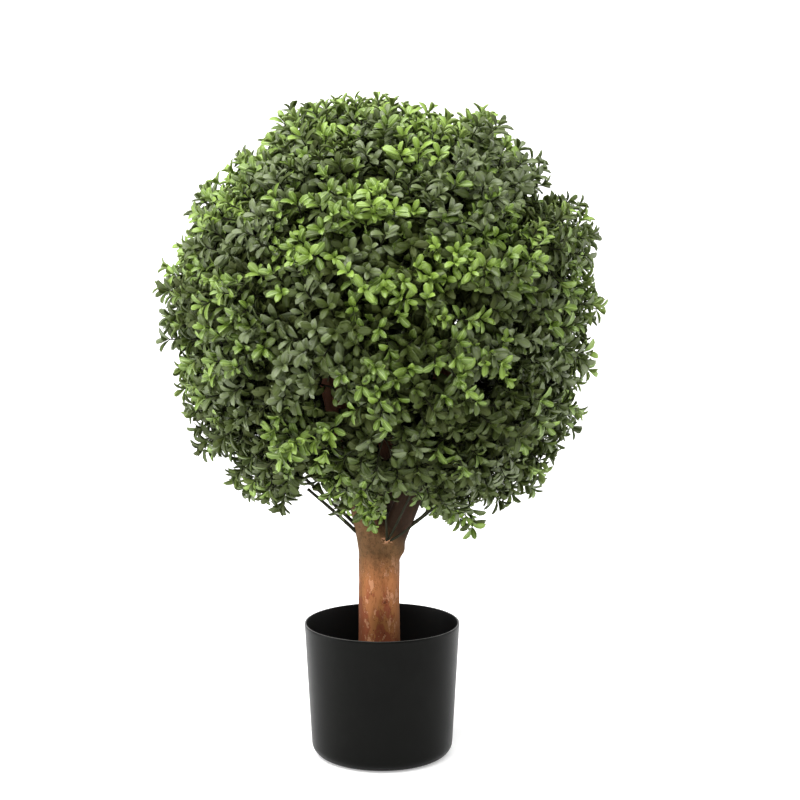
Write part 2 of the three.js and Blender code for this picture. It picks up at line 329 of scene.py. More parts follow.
FILLER_TOP, FILLER_BOTTOM, SOCKET_BOTTOM = 72, 4.4, 51.7
SOCKET_RADIUS, FILLER_RADIUS, FILLER_FOOT, FILLER_CORNER = 20.2, 65.4, 62.4, 10
TRUNK_X = -2.7
UNEVEN, UNEVEN_SCALE = 0.7, 120
top_rings = [(radius, FILLER_TOP) for radius in (61, 55, 49, 43, 37, 31, 26, 22)]
filler_profile = (
    [(0, FILLER_BOTTOM)] + quarter_round(FILLER_FOOT, FILLER_CORNER, FILLER_BOTTOM, 4)
    + [(FILLER_RADIUS, FILLER_TOP - 0.6)] + top_rings
    + [(SOCKET_RADIUS, FILLER_TOP - 0.3), (SOCKET_RADIUS, SOCKET_BOTTOM), (0, SOCKET_BOTTOM)]
)
cement = spin_profile(filler_profile, 72)
for spot in cement.verts:
    radius = math.hypot(spot.co.x, spot.co.y) / MM
    if radius < SOCKET_RADIUS + 0.1 and spot.co.z > 40 * MM:  # the socket is round the trunk
        spot.co.x += TRUNK_X * MM
    if spot.co.z > (FILLER_TOP - 0.1) * MM and radius < 63:
        spot.co.z += UNEVEN * MM * noise.noise(spot.co * UNEVEN_SCALE)
filler = finish_piece("filler_cast", cement, [filler_cement])
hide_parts("filler")

# %% [markdown]
# ## Curves that carry wood, stems and sprigs
# Everything that grows is a round bar along a curve. A short bar template is modelled once with bmesh
# operators, and each copy is laid along its own curve in arrays, with its own radius at every ring. That
# is how thousands of sprigs stay quick to build.

# %% A smooth curve
def run_length(run):
    """How far along a run each of its points lies."""
    return np.concatenate([[0], np.cumsum(np.linalg.norm(np.diff(run, axis=0), axis=1))])


def through_points(points, count):
    """Evenly spaced points on a smooth curve through the given ones (Catmull-Rom), in millimetres."""
    points = np.array(points, float)
    ends = [2 * points[0] - points[1], *points, 2 * points[-1] - points[-2]]
    run = []
    for before, start, end, after in zip(ends, ends[1:], ends[2:], ends[3:]):
        for share in np.linspace(0, 1, 24, endpoint=False):
            a = -before + 3 * start - 3 * end + after
            b = 2 * before - 5 * start + 4 * end - after
            c = end - before
            run.append(0.5 * (a * share ** 3 + b * share ** 2 + c * share) + start)
    run.append(points[-1])
    run = np.array(run)
    length = run_length(run)
    spread = np.linspace(0, length[-1], count)
    return np.stack([np.interp(spread, length, run[:, axis]) for axis in range(3)], axis=1)


test_curve = through_points([(0, 0, 0), (10, 0, 10), (0, 0, 20)], 9)
print("a curve over 20 mm of height is", round(run_length(test_curve)[-1], 1), "mm long")


# %% Bars along a curve
OFF_AXIS = np.array([0.31, 0.52, 0.8])  # a direction that lies along no branch


def bar_template(sides, rings):
    """A straight round bar of unit radius from z = 0 to rings - 1: vertices (ring number in z) and faces."""
    shape = bmesh.new()
    bmesh.ops.create_circle(shape, cap_ends=True, segments=sides, radius=1)
    for ring in range(rings - 1):
        last = max(shape.faces, key=lambda face: face.calc_center_median().z)
        lifted = bmesh.ops.extrude_face_region(shape, geom=[last])
        if ring:  # the first face stays, as the bar's closed foot
            bmesh.ops.delete(shape, geom=[last], context="FACES_ONLY")
        spots = [part for part in lifted["geom"] if isinstance(part, bmesh.types.BMVert)]
        bmesh.ops.translate(shape, verts=spots, vec=(0, 0, 1))
    bmesh.ops.recalc_face_normals(shape, faces=shape.faces)
    spots = np.array([spot.co[:] for spot in shape.verts])
    faces = [[spot.index for spot in face.verts] for face in shape.faces]
    shape.free()
    return spots, faces


def lay_bar(template, path, radii):
    """The template's vertices laid along a path, with a radius for every point of the path."""
    spots, _ = template
    path = np.array(path)
    ahead = np.gradient(path, axis=0)
    ahead /= np.linalg.norm(ahead, axis=1, keepdims=True)
    start = OFF_AXIS if abs(ahead[0] @ OFF_AXIS) < 0.9 else np.array([1.0, 0, 0])
    side = np.cross(ahead, start)
    side /= np.linalg.norm(side, axis=1, keepdims=True)
    other = np.cross(ahead, side)
    ring = np.rint(spots[:, 2]).astype(int)
    reach = np.array(radii)[ring][:, None]
    return path[ring] + reach * (spots[:, 0:1] * side[ring] + spots[:, 1:2] * other[ring])


def bars(template, runs, radii):
    """One batch for joined_mesh from every run, all with the same radii."""
    faces = template[1]
    return [(lay_bar(template, run, radii), faces, [0] * len(faces)) for run in runs]


print("faces of a three-sided bar with seven rings:", len(bar_template(3, 7)[1]))


# %% One mesh from many bars
def joined_mesh(name, batches):
    """One mesh from batches of (vertices, faces, a material number for each face), in millimetres."""
    spots, faces, slots, start = [], [], [], 0
    for points, sides, numbers in batches:
        spots.append(points)
        faces.extend([[corner + start for corner in face] for face in sides])
        slots.extend(numbers)
        start += len(points)
    mesh = bpy.data.meshes.new(name)
    mesh.from_pydata(np.concatenate(spots) * MM, [], faces)
    mesh.polygons.foreach_set("material_index", slots)
    return mesh


# %% [markdown]
# ## The wood
# The trunk is a straight peeled pole that forks into three limbs, which bend outwards and rise into the
# crown. Tubes that only cross each other leave hard seams at a fork. So the four bars are joined and
# remeshed into one skin, the skin is relaxed until the crotch is soft, and then bark relief is pushed into
# it: long fibres along the wood, thin scales that have peeled away, and a small knot.

# %% Trunk and limb curves
LIMBS = {  # points, radius at the foot, radius at the tip
    "left": ([(-4, 0, 150), (-7, -2, 190), (-13, -4, 222), (-30, -8, 285), (-46, -12, 346), (-56, -14, 392)],
             15.2, 8.5),
    "right": ([(-1, 0, 150), (2, -1, 178), (9, -3, 203), (18.5, -5, 226), (35, -9, 270), (49, -12, 320),
               (57, -14, 368)], 13.6, 8),
    "back": ([(-2, 0, 150), (-1, 9, 190), (1, 22.5, 222), (2, 34, 270), (0, 42, 330), (-3, 44, 385)],
             11.8, 7.5),
}
TRUNK_RADIUS, TRUNK_FOOT, SHOULDER, CROTCH, CROTCH_RADIUS = 19.1, 52, 184, 207, 8
WOOD_SIDES, WOOD_RINGS = 28, 41

wood_template = bar_template(WOOD_SIDES, WOOD_RINGS)
limb_paths = {}
batches = []
for name, (points, foot, tip) in LIMBS.items():
    path = through_points(points, WOOD_RINGS)
    limb_paths[name] = path
    radii = [foot + (tip - foot) * (step / (WOOD_RINGS - 1)) ** 1.3 for step in range(WOOD_RINGS)]
    batches += bars(wood_template, [path], radii)

heights = np.linspace(TRUNK_FOOT, CROTCH, WOOD_RINGS)
pole = np.stack([np.full(WOOD_RINGS, TRUNK_X), np.zeros(WOOD_RINGS), heights], axis=1)
narrowing = np.clip((heights - SHOULDER) / (CROTCH - SHOULDER), 0, 1)
narrowing = narrowing ** 2 * (3 - 2 * narrowing)
pole_radii = TRUNK_RADIUS + (CROTCH_RADIUS - TRUNK_RADIUS) * narrowing
batches += bars(wood_template, [pole], pole_radii)
rough_wood = bpy.data.objects.new("rough_wood", joined_mesh("rough_wood", batches))
scene.collection.objects.link(rough_wood)
print("bars of wood:", len(batches))

# %% One skin over the fork
VOXEL, FLAT_CUT = 1.5, 54  # the cut end below FLAT_CUT keeps its edge
remesh = rough_wood.modifiers.new("skin", "REMESH")
remesh.mode = "VOXEL"
remesh.voxel_size = VOXEL * MM
skin = bpy.data.meshes.new_from_object(rough_wood.evaluated_get(bpy.context.evaluated_depsgraph_get()))
bpy.data.objects.remove(rough_wood)
wood = bmesh.new()
wood.from_mesh(skin)
for _ in range(8):
    bmesh.ops.smooth_vert(
        wood, verts=[spot for spot in wood.verts if spot.co.z > FLAT_CUT * MM], factor=0.5,
        use_axis_x=True, use_axis_y=True, use_axis_z=True,
    )
print("skin:", len(wood.verts), "vertices")


# %% [markdown]
# The relief is worked out from noise that is stretched along the wood. It moves the skin by less than a
# millimetre, so the wood all but keeps its measured thickness. Only the knot goes deeper, and only a burl at
# the right of the fork stands out by about two millimetres.

# %% Bark relief
KNOT = Vector((3, -18.5, 146)) * MM
BURL = Vector((18, -6, 192)) * MM


def bark_relief(spot):
    """How far the skin is pushed out at a spot, in metres."""
    fibre = noise.noise(Vector((spot.x * 420, spot.y * 420, spot.z * 55)))
    strand = noise.noise(Vector((spot.x * 170 + 9, spot.y * 170, spot.z * 21)))
    scale = noise.noise(Vector((spot.x * 95, spot.y * 95 + 4, spot.z * 34)))
    peeled = min(1.0, max(0.0, (scale - 0.06) / 0.07))
    wave = noise.noise(spot * 26)
    knot = math.exp(-((spot - KNOT).length / (2.2 * MM)) ** 2)
    burl = math.exp(-((spot - BURL).length / (5.5 * MM)) ** 2)
    return MM * (0.14 * fibre + 0.2 * strand - 0.32 * peeled + 0.55 * wave - 1.1 * knot + 2.2 * burl)


wood.normal_update()
reliefs = [(spot, spot.normal.copy(), bark_relief(spot.co)) for spot in wood.verts]
for spot, out, height in reliefs:
    spot.co += out * height
depths = [height / MM for *_, height in reliefs]
print("bark relief:", round(min(depths), 2), "to", round(max(depths), 2), "mm")

# %% [markdown]
# ## Bark colour
# The peeled wood is a warm tan with redder strips where the inner bark is left and paler scars where it
# came off. Its sides are painted browner and darker, as painted shade. Towards the fork it turns greyer and
# darker, partly weathering and partly painted shade under the crown, with dark lichen. Each of these is a
# mask, most of them from stretched noise on Object coordinates, so the pattern runs along the wood. Between
# the limbs and a little way up them the wood is darkened as painted shade, and the limbs inside the crown
# are a dull red-brown.

# %% Bark masks
bark, tree, shader = new_material("bark", 0.8, Specular_IOR_Level=0.14)
FIBRES, PATCHES, SCARS, EVEN = 0.2, 0.42, 0.55, 1  # how far a pattern is drawn out along the wood
BLACK, WHITE = (0, 0, 0, 1), (1, 1, 1, 1)


def pattern(stretch, scale, **more):
    return noise_node(tree, object_coordinates(tree, (1, 1, stretch)), scale, **more)


def band_mask(value, low, high, soft):
    """1 between two levels of a pattern, 0 outside: a band along the edge of a patch."""
    return ramp_node(tree, value, [(low - soft, BLACK), (low, WHITE), (high, WHITE), (high + soft, BLACK)])


def above_mask(value, level, soft):
    return ramp_node(tree, value, [(level - soft, BLACK), (level, WHITE)])


# %% Arithmetic on the masks
def math_node(operation, *values):
    node = tree.nodes.new("ShaderNodeMath")
    node.operation = operation
    for socket, value in zip(node.inputs, values):
        feed(tree, value, socket)
    return node.outputs[0]


def product(first, second):
    return math_node("MULTIPLY", first, second)


def place_along(axis):
    """One of the Object coordinates, in metres."""
    split = tree.nodes.new("ShaderNodeSeparateXYZ")
    tree.links.new(object_coordinates(tree), split.inputs["Vector"])
    return split.outputs[axis]


def leaning(value, per_metre):
    """The pattern pushed up on one side of the wood and down on the other, along X."""
    return math_node("MULTIPLY_ADD", place_along("X"), per_metre, value)


def rise_mask(value, low, high):
    """0 where the value is below the first number and 1 above the second."""
    rise = tree.nodes.new("ShaderNodeMapRange")
    rise.inputs["From Min"].default_value = low
    rise.inputs["From Max"].default_value = high
    tree.links.new(value, rise.inputs["Value"])
    return rise.outputs["Result"]


def near_spot(spot):
    """The distance from one spot on the wood, in metres."""
    away = tree.nodes.new("ShaderNodeVectorMath")
    away.operation = "DISTANCE"
    away.inputs[1].default_value = spot
    tree.links.new(object_coordinates(tree), away.inputs[0])
    return away.outputs["Value"]


def stain(colour, mask, share, tint):
    """The bark's colour so far, with a share of a tint mixed in where the mask is light."""
    return mix_node(tree, product(mask, share), colour, tint)


# %% Bark patches
height = place_along("Z")
strips = pattern(FIBRES, 80, detail=4)
colour = ramp_node(tree, strips, [
    (0.3, srgb(156, 99, 58)), (0.45, srgb(176, 115, 72)),
    (0.56, srgb(169, 111, 65)), (0.72, srgb(154, 101, 56)),
])
inner_bark = leaning(pattern(PATCHES, 74, detail=9, roughness=0.64, distortion=0.35), -3.4)
low_down = product(rise_mask(height, 0.168, 0.15), 0.94)
inner_tint = mix_node(tree, strips, srgb(158, 90, 60), srgb(138, 72, 48))
colour = stain(colour, above_mask(inner_bark, 0.53, 0.004), low_down, inner_tint)
colour = stain(colour, band_mask(inner_bark, 0.518, 0.524, 0.004), 0.55, srgb(104, 56, 32))
pale_bark = pattern(SCARS, 118, detail=9, roughness=0.7)
colour = stain(colour, above_mask(pale_bark, 0.57, 0.004), 0.8, srgb(202, 146, 108))
colour = stain(colour, band_mask(pale_bark, 0.553, 0.561, 0.004), 0.6, srgb(92, 50, 28))
# Painted shade: the bark turns darker and browner towards the left and right sides of the trunk.
sides = math_node("ABSOLUTE", leaning(-TRUNK_X * MM, 1))
colour = stain(colour, rise_mask(sides, 0.0115, 0.0185), 0.6, srgb(92, 58, 36))
print("nodes for the patches:", len(tree.nodes))

# %% The weathered fork and its painted shade
# Greyer and darker towards the fork: weathering, and painted shade under the crown.
grey_weather_and_shade_tint = mix_node(tree, strips, srgb(77, 59, 38), srgb(107, 83, 56))
colour = stain(colour, rise_mask(height, 0.166, 0.192), 0.85, grey_weather_and_shade_tint)
lichen = above_mask(pattern(EVEN, 300, detail=6, roughness=0.72), 0.54, 0.02)
colour = stain(colour, product(lichen, rise_mask(height, 0.162, 0.186)), 0.45, srgb(70, 54, 32))
# Painted shade: the wood between the limbs and a little way up them is dark brown, starting lower on the
# right limb.
colour = stain(colour, rise_mask(leaning(height, 0.75), 0.204, 0.222), 0.9, srgb(40, 28, 21))
colour = stain(colour, rise_mask(height, 0.268, 0.296), 0.9, srgb(104, 68, 50))
print("nodes with the fork:", len(tree.nodes))

# %% Chips, knot, cracks and pores
crotch = Vector((4.5, -13.5, 203.2)) * MM
at_crotch = product(rise_mask(near_spot(crotch), 0.0062, 0.0045), band_mask(height, 0.2017, 0.2042, 0.0005))
chips = above_mask(pattern(EVEN, 520, detail=4), 0.52, 0.01)
colour = stain(colour, chips, at_crotch, srgb(218, 160, 122))
knot = near_spot(KNOT)
colour = stain(colour, rise_mask(knot, 0.0042, 0.003), 0.6, srgb(132, 62, 34))
colour = stain(colour, rise_mask(knot, 0.0022, 0.0012), 0.95, srgb(34, 20, 14))
cracks = product(band_mask(pattern(FIBRES, 210, detail=5, roughness=0.6), 0.497, 0.503, 0.006),
                 above_mask(pattern(PATCHES, 90, detail=2), 0.55, 0.05))
colour = stain(colour, cracks, 0.75, srgb(70, 38, 22))
pores = pattern(0.6, 520, detail=2)
pores = ramp_node(tree, pores, [(0.26, WHITE), (0.3, BLACK)])
tree.links.new(mix_node(tree, pores, colour, srgb(50, 32, 20)), shader.inputs["Base Color"])
add_bump(tree, shader, pattern(FIBRES, 620, detail=5), 0.5, 0.0008)
print("nodes in the bark:", len(tree.nodes))

trunk = finish_piece("trunk_wood", wood, [bark])
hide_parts("trunk", "limb_left", "limb_right", "limb_back")

# %% [markdown]
# ## The crown's rule
# The solid crown was grown by a short rule, and the same rule is written here, number for number. A golden
# angle spiral spreads directions evenly over a ball, and a seeded stream of numbers pushes each one a
# little aside. The outline says how far out the clipped surface lies in each direction. The sprigs, which
# only this script has, follow a second and finer list of marks, so that their edge is as uneven as shears
# leave it.

# %% The crown's measures
CROWN_CENTRE = np.array([-4.0, 0, 415])
CROWN_RADIUS, CROWN_ABOVE, CROWN_BELOW = 196, (191, 2), (205, 2.5)
SHEAR_MARKS = [  # degrees round the ball's middle as seen from the front, millimetres outwards
    (22, 17), (41, -8), (57, 9), (76, -5), (110, 8), (134, -12), (160, -6),
    (180, 8), (199, -10), (229, -8), (252, -26), (300, -4), (322, 11), (340, -3),
]
MARK_SPREAD = 9
SNIPS = [
    (1, 7), (28, -1), (35, -31), (40, 14), (46, 8), (55, -17), (61, 14), (66, -5), (75, -4), (108, -6),
    (120, -15), (127, -6), (130, 4), (140, -7), (145, 1), (168, -3), (174, 5), (180, -5), (190, -15),
    (196, 4), (205, -5), (213, -11), (225, -29), (231, 6), (236, -6), (240, 10), (247, -38), (254, -20),
    (286, -10), (290, 7), (296, -29), (302, 5), (306, -9), (310, 12), (318, -6), (326, -6), (331, 4),
    (337, -8), (347, 6), (356, -7),
]
SNIP_SPREAD = 3.6
HEART = np.array([-4.0, -4, 436])
ARMS, ARM_SHARE = 12, 0.79
TWIGS, TWIG_JITTER, LEAF_REACH = 90, 0.05, 26
print("shear marks:", len(SHEAR_MARKS), "and", len(SNIPS), "finer ones")


# %% Seeded numbers
def seeded(seed):
    state = seed & 0xFFFFFFFF

    def draw():
        nonlocal state
        state = (state + 0x6D2B79F5) & 0xFFFFFFFF
        mixed = ((state ^ (state >> 15)) * (state | 1)) & 0xFFFFFFFF
        mixed ^= (mixed + (mixed ^ (mixed >> 7)) * (mixed | 61)) & 0xFFFFFFFF
        return ((mixed ^ (mixed >> 14)) & 0xFFFFFFFF) / 4294967296
    return draw


print("first number from seed 1:", round(seeded(1)(), 4))


# %% The clipped outline
def marks_at(direction, marks, spread):
    """How far the shears went outside or inside the even ball, in millimetres."""
    turn = math.degrees(math.atan2(direction[2], direction[0]))
    total = 0
    for at, height in marks:
        away = (turn - at + 180) % 360 - 180
        total += height * math.exp(-((away / spread) ** 2))
    return total * (direction[0] ** 2 + direction[2] ** 2)


def outline(direction):
    height, power = CROWN_ABOVE if direction[2] >= 0 else CROWN_BELOW
    level = math.hypot(direction[0], direction[1])
    even_ball = ((level / CROWN_RADIUS) ** power + (abs(direction[2]) / height) ** power) ** (-1 / power)
    return even_ball + marks_at(direction, SHEAR_MARKS, MARK_SPREAD)


def snip(direction):
    """The same in narrower marks, for the ends of the single sprigs."""
    return marks_at(direction, SNIPS, SNIP_SPREAD)


def on_crown(direction, share, inset=0.0):
    return CROWN_CENTRE + direction * (share * outline(direction) - inset)


print("front of the crown:", np.round(on_crown(np.array([0, -1, 0]), 1), 1).tolist())


# %% Directions spread over the ball
def even_aims(count, jitter, draw):
    golden_angle = math.pi * (3 - math.sqrt(5))
    aims = []
    for i in range(count):
        height = 1 - (2 * i + 1) / count
        level = math.sqrt(1 - height * height)
        aim = np.array([level * math.cos(i * golden_angle), level * math.sin(i * golden_angle), height])
        aim += [jitter * (2 * draw() - 1) for _ in range(3)]
        aims.append(aim / np.linalg.norm(aim))
    return np.array(aims)


arm_aims = even_aims(ARMS, 0, seeded(1))
twig_aims = even_aims(TWIGS, TWIG_JITTER, seeded(2026))
print("first twig aims:", np.round(twig_aims[:2], 3).tolist())

# %% [markdown]
# Foliage keeps clear of the wood and of the open throat under the crown, through which the fork shows. A
# sprig or leaf that would come too near is left out, as it is in the solid.

# %% What foliage keeps clear of
wood_runs = [(path, foot + 1.0) for (path, (_, foot, _)) in zip(limb_paths.values(), LIMBS.values())]
THROAT_X, THROAT_HALF, THROAT_FRONT, THROAT_BACK, THROAT_TOP = 5, 32, -150, 40, 258


def is_clear(points, margin=0.0):
    """For an array of points: True where a point is off the wood and outside the throat."""
    points = np.atleast_2d(points)
    clear = ~((np.abs(points[:, 0] - THROAT_X) < THROAT_HALF) & (points[:, 1] > THROAT_FRONT)
              & (points[:, 1] < THROAT_BACK) & (points[:, 2] < THROAT_TOP))
    for path, radius in wood_runs:
        gaps = np.linalg.norm(points[:, None] - path[None], axis=2).min(axis=1)
        clear &= gaps > radius + margin
    return clear


# %% [markdown]
# ## Arms, twigs and sprigs
# The crown's own stem rises from the back limb and divides into arms, the arms carry the twigs of the
# solid, and each twig carries about twenty sprigs. They grow as sprays: one leader that bends until it
# points straight out of the ball, and three side shoots round it in the same green. Shorter sprigs fill the
# gaps between the sprays.

# %% Arms and twigs
RUN_POINTS = 9


def unit(vector):
    return vector / np.linalg.norm(vector)


def bowed(start, bend, end, count):
    """A bowed run of points from start to end, drawn towards the bend."""
    shares = np.linspace(0, 1, count)
    return np.array([(1 - s) ** 2 * start + 2 * s * (1 - s) * bend + s * s * end for s in shares])


draw = seeded(11)
arms = [np.linspace(HEART, on_crown(aim, ARM_SHARE), RUN_POINTS) for aim in arm_aims]
arms = [arm for arm in arms if is_clear(arm[1:]).all()]
arm_ends = np.array([arm[-1] for arm in arms])

twigs = []
for aim in twig_aims:
    tip = on_crown(aim, 1, LEAF_REACH + 14)
    arm = arms[int(np.argmin(np.linalg.norm(arm_ends - on_crown(aim, ARM_SHARE), axis=1)))]
    twigs.append(bowed(arm[5] if draw() < 0.5 else arm[6], on_crown(aim, 0.6), tip, RUN_POINTS))
twig_ends = np.array([run[-1] for run in twigs])
print("arms:", len(arms), "twigs:", len(twigs))

# %% How a sprig grows
sprigs = []


def grow_sprig(aim, start, bend, tip, colour):
    run = bowed(start, bend, tip, RUN_POINTS)
    if is_clear(tip, 6)[0] and is_clear(run[5:], 1).all():
        sprigs.append((aim, run, colour))


def beside(aim):
    """Two directions along the clipped surface, square to the aim and to each other."""
    across = unit(np.cross(aim, OFF_AXIS))
    return across, np.cross(aim, across)


def nearest_twig(aim):
    return twigs[int(np.argmin(np.linalg.norm(twig_ends - on_crown(aim, 0.8), axis=1)))]


# %% Sprays
# The lists deal out the greens: a number between 0 and 1 takes the first green whose limit it is under.
SPRAY_COLOURS = [(0.13, "deep"), (0.5, "green"), (0.72, "grey"), (0.95, "fresh"), (1.0, "tip")]
# Painted light: sprays at the top of the ball are dealt lighter greens, with few dark ones.
LIT_TOP_COLOURS = [(0.02, "deep"), (0.22, "green"), (0.48, "grey"), (0.86, "fresh"), (1.0, "tip")]
# Painted shade: sprays at the foot of the ball are dealt darker greens.
SHADED_UNDER_COLOURS = [(0.42, "deep"), (0.76, "green"), (0.88, "grey"), (1.0, "fresh")]
UNDER_BELOW, TOP_ABOVE = -0.3, 0.4  # the height of an aim, from -1 at the foot of the ball to 1 at its top
SPRAYS, SIDE_SHOOTS = 380, 3
for aim in even_aims(SPRAYS, 0.05, draw):
    fork = nearest_twig(aim)[5 + int(draw() * 3.99)]
    across, other = beside(aim)
    inset = 5 + 12.5 * draw() ** 1.5  # most leaders end near the clipped surface
    tip = on_crown(aim, 1, inset - snip(aim)) + across * 14 * (draw() - 0.5) + other * 14 * (draw() - 0.5)
    elbow = on_crown(aim, 0.8) * 0.75 + fork * 0.25
    pick = min(1, max(0, draw() + 0.24 * noise.noise(Vector(aim * 2.6))))  # neighbours tend to match
    kinds = SHADED_UNDER_COLOURS if aim[2] < UNDER_BELOW else LIT_TOP_COLOURS if aim[2] > TOP_ABOVE else SPRAY_COLOURS
    colour = next(green for limit, green in kinds if pick <= limit)
    grow_sprig(aim, fork, elbow, tip, colour)
    leader = bowed(fork, elbow, tip, 13)
    first_turn = draw() * math.tau
    for shoot in range(SIDE_SHOOTS):
        turn = first_turn + math.tau * (shoot + 0.5 * draw()) / SIDE_SHOOTS
        out = across * math.cos(turn) + other * math.sin(turn)
        shoot_aim = unit(tip + out * (13 + 9 * draw()) - CROWN_CENTRE)
        shoot_tip = on_crown(shoot_aim, 1, inset + 11 * draw() - snip(shoot_aim))
        start = leader[6 + int(2.99 * draw())]
        grow_sprig(shoot_aim, start, start * 0.45 + shoot_tip * 0.55 - aim * 5 + out * 4, shoot_tip, colour)
print("sprigs in the sprays:", len(sprigs))

# %% Shorter sprigs
# They stand between the sprays and close the gaps behind them, and they are dark, but for the top, where they
# take a plain green as painted light.
FILL_SPRIGS = 500
for aim in even_aims(FILL_SPRIGS, 0.06, draw):
    fork = nearest_twig(aim)[4 + int(draw() * 3.99)]
    tip = on_crown(aim, 1, 20 + 16 * draw())
    colour = "green" if aim[2] > TOP_ABOVE else "deep" if draw() < 0.7 else "shade"
    grow_sprig(aim, fork, on_crown(aim, 0.75), tip, colour)
print("with the shorter ones:", len(sprigs))

# %% Hanging sprigs
# A few sprigs hang in front of the fork and below the clipped ball. Each is named by its tip.
HANGING_TIPS = [
    (-9, -60, 230), (-1, -62, 236), (-16, -58, 236), (-9, -64, 243), (2, -60, 245), (-21, -56, 246),
    (-4, -66, 249), (-16, -62, 247), (-28, -58, 254), (80, -56, 224), (74, -52, 233), (62, -56, 237),
    (48, -60, 244),
]
TWIG_LIFT, TWIG_BEND = np.array([-6, 30, 48]), np.array([-1, 22, 12])
for tip in HANGING_TIPS:
    tip = np.array(tip, float)
    run = bowed(tip + TWIG_LIFT, tip + TWIG_BEND, tip, RUN_POINTS)
    sprigs.append((unit(tip - CROWN_CENTRE), run, "fresh" if draw() < 0.6 else "green"))
hanging = len(HANGING_TIPS)
print("sprigs in all:", len(sprigs))

# %% [markdown]
# ## Box leaves
# A box leaf is a small blunt oval, a little wider beyond its middle, folded along a pale midrib and bent
# back at its tip. It is modelled once: a flat strip is cut into rows, drawn in to the leaf's outline, and
# given its fold and thickness. The near leaves carry the midrib as a strip of faces of its own, which takes
# the paler colour without any image. The leaves deeper in the crown are the same shape with fewer rows.

# %% Leaf template
FOLD, BEND_UP, BEND_BACK, BLADE_THICKNESS = 0.46, 0.2, 0.44, 0.05


def blade_face(shape, rows, lanes, thickness):
    """One skin of the leaf: a grid drawn in to the outline, folded along the midrib and bent back."""
    made = bmesh.ops.create_grid(shape, x_segments=len(lanes) - 1, y_segments=len(rows) - 1, size=1)
    grid = sorted(made["verts"], key=lambda spot: (round(spot.co.y, 4), round(spot.co.x, 4)))
    for number, spot in enumerate(grid):
        along, half = rows[number // len(lanes)]
        lane = lanes[number % len(lanes)]
        middle = thickness * (1 - abs(lane)) * min(1, half * 6)
        bend = BEND_UP * along - BEND_BACK * along ** 2
        spot.co = (lane * half, along, FOLD * abs(lane * half) + bend - middle)


def leaf_template(rows, lanes):
    """rows: (share of the length, half width as a share of it). A closed blade, its foot at the origin."""
    shape = bmesh.new()
    blade_face(shape, rows, lanes, 0)
    blade_face(shape, rows, [-1, 0, 1], BLADE_THICKNESS)
    bmesh.ops.remove_doubles(shape, verts=shape.verts, dist=0.004)
    bmesh.ops.recalc_face_normals(shape, faces=shape.faces)
    shape.verts.index_update()
    spots = np.array([spot.co[:] for spot in shape.verts])
    faces = [[spot.index for spot in face.verts] for face in shape.faces]
    parts = []
    for face in shape.faces:
        on_rib = len(lanes) == 4 and abs(face.calc_center_median().x) < 0.01
        parts.append("under" if face.normal.z < 0 else "rib" if on_rib else "blade")
    open_edges = sum(not edge.is_manifold for edge in shape.edges)
    shape.free()
    print("leaf edges left open:", open_edges)
    return spots, faces, parts


NEAR_ROWS = [(0, 0), (0.16, 0.07), (0.4, 0.175), (0.68, 0.235), (0.9, 0.18), (1, 0)]
DEEP_ROWS = [(0, 0), (0.35, 0.2), (0.75, 0.25), (1, 0)]
near_leaf = leaf_template(NEAR_ROWS, [-1, -0.11, 0.11, 1])
deep_leaf = leaf_template(DEEP_ROWS, [-1, 0, 1])
for label, (spots, faces, parts) in (("near", near_leaf), ("deep", deep_leaf)):
    print(label, "leaf:", len(spots), "vertices", sum(len(face) - 2 for face in faces), "triangles")

# %% [markdown]
# ## Leaf colours
# The sprigs of such a ball are moulded in a handful of greens: fresh yellow-green tips, plain leaf greens and
# a dull grey-green. So the colours are plain ones, dealt out by spray, with lighter greens dealt at the top
# of the ball as painted light and darker ones at its foot as painted shade. The tip of a sprig is a step
# lighter and its foot darker, and a leaf here and there differs from its pair. Undersides are duller and
# midribs paler. The shaded greens shine less than the fresh ones.

# %% Leaf materials
LEAF_GREENS = [
    ("leaf_shade", srgb(62, 71, 27), 0.6),
    ("leaf_deep", srgb(64, 76, 29), 0.48),
    ("leaf_green", srgb(77, 94, 33), 0.4),
    ("leaf_grey", srgb(90, 102, 62), 0.38),
    ("leaf_fresh", srgb(100, 125, 44), 0.38),
    ("leaf_tip", srgb(123, 150, 58), 0.38),
    ("rib_dark", srgb(92, 106, 54), 0.44),
    ("under_dark", srgb(84, 97, 52), 0.5),
    ("under_light", srgb(116, 134, 66), 0.5),
    ("rib_light", srgb(136, 160, 80), 0.4),
]
DULL = ("leaf_shade", "leaf_deep")
leaf_materials = []
for name, colour, roughness in LEAF_GREENS:
    material, tree, shader = new_material(name, roughness, Specular_IOR_Level=0.25 if name in DULL else 0.5)
    shader.inputs["Base Color"].default_value = colour
    leaf_materials.append(material)
SHADE, DEEP, GREEN, GREY, FRESH, TIP, RIB_DARK, UNDER_DARK, UNDER_LIGHT, RIB_LIGHT = range(10)
LEAF_PARTS = {
    "blade": {},
    "rib": {GREEN: RIB_DARK, GREY: RIB_DARK, FRESH: RIB_LIGHT, TIP: RIB_LIGHT},
    "under": {GREEN: UNDER_DARK, GREY: UNDER_DARK, FRESH: UNDER_LIGHT, TIP: UNDER_LIGHT},
}
SPRAY_GREEN = {"shade": SHADE, "deep": DEEP, "green": GREEN, "grey": GREY, "fresh": FRESH, "tip": TIP}
LIGHTER = {SHADE: DEEP, DEEP: GREEN, GREEN: FRESH, GREY: GREY, FRESH: TIP, TIP: TIP}
DARKER = {SHADE: SHADE, DEEP: SHADE, GREEN: DEEP, GREY: DEEP, FRESH: GREEN, TIP: FRESH}
print("leaf colours:", len(leaf_materials))


# %% [markdown]
# ## Dress the sprigs
# Box leaves stand in opposite pairs, each pair turned a quarter from the last, about 6 mm apart, with two
# close pairs of young leaves at the tip. Every leaf is one row in a list: where it starts, the way it
# points, its upper face, its size and its colour. The lists become meshes in one step afterwards.

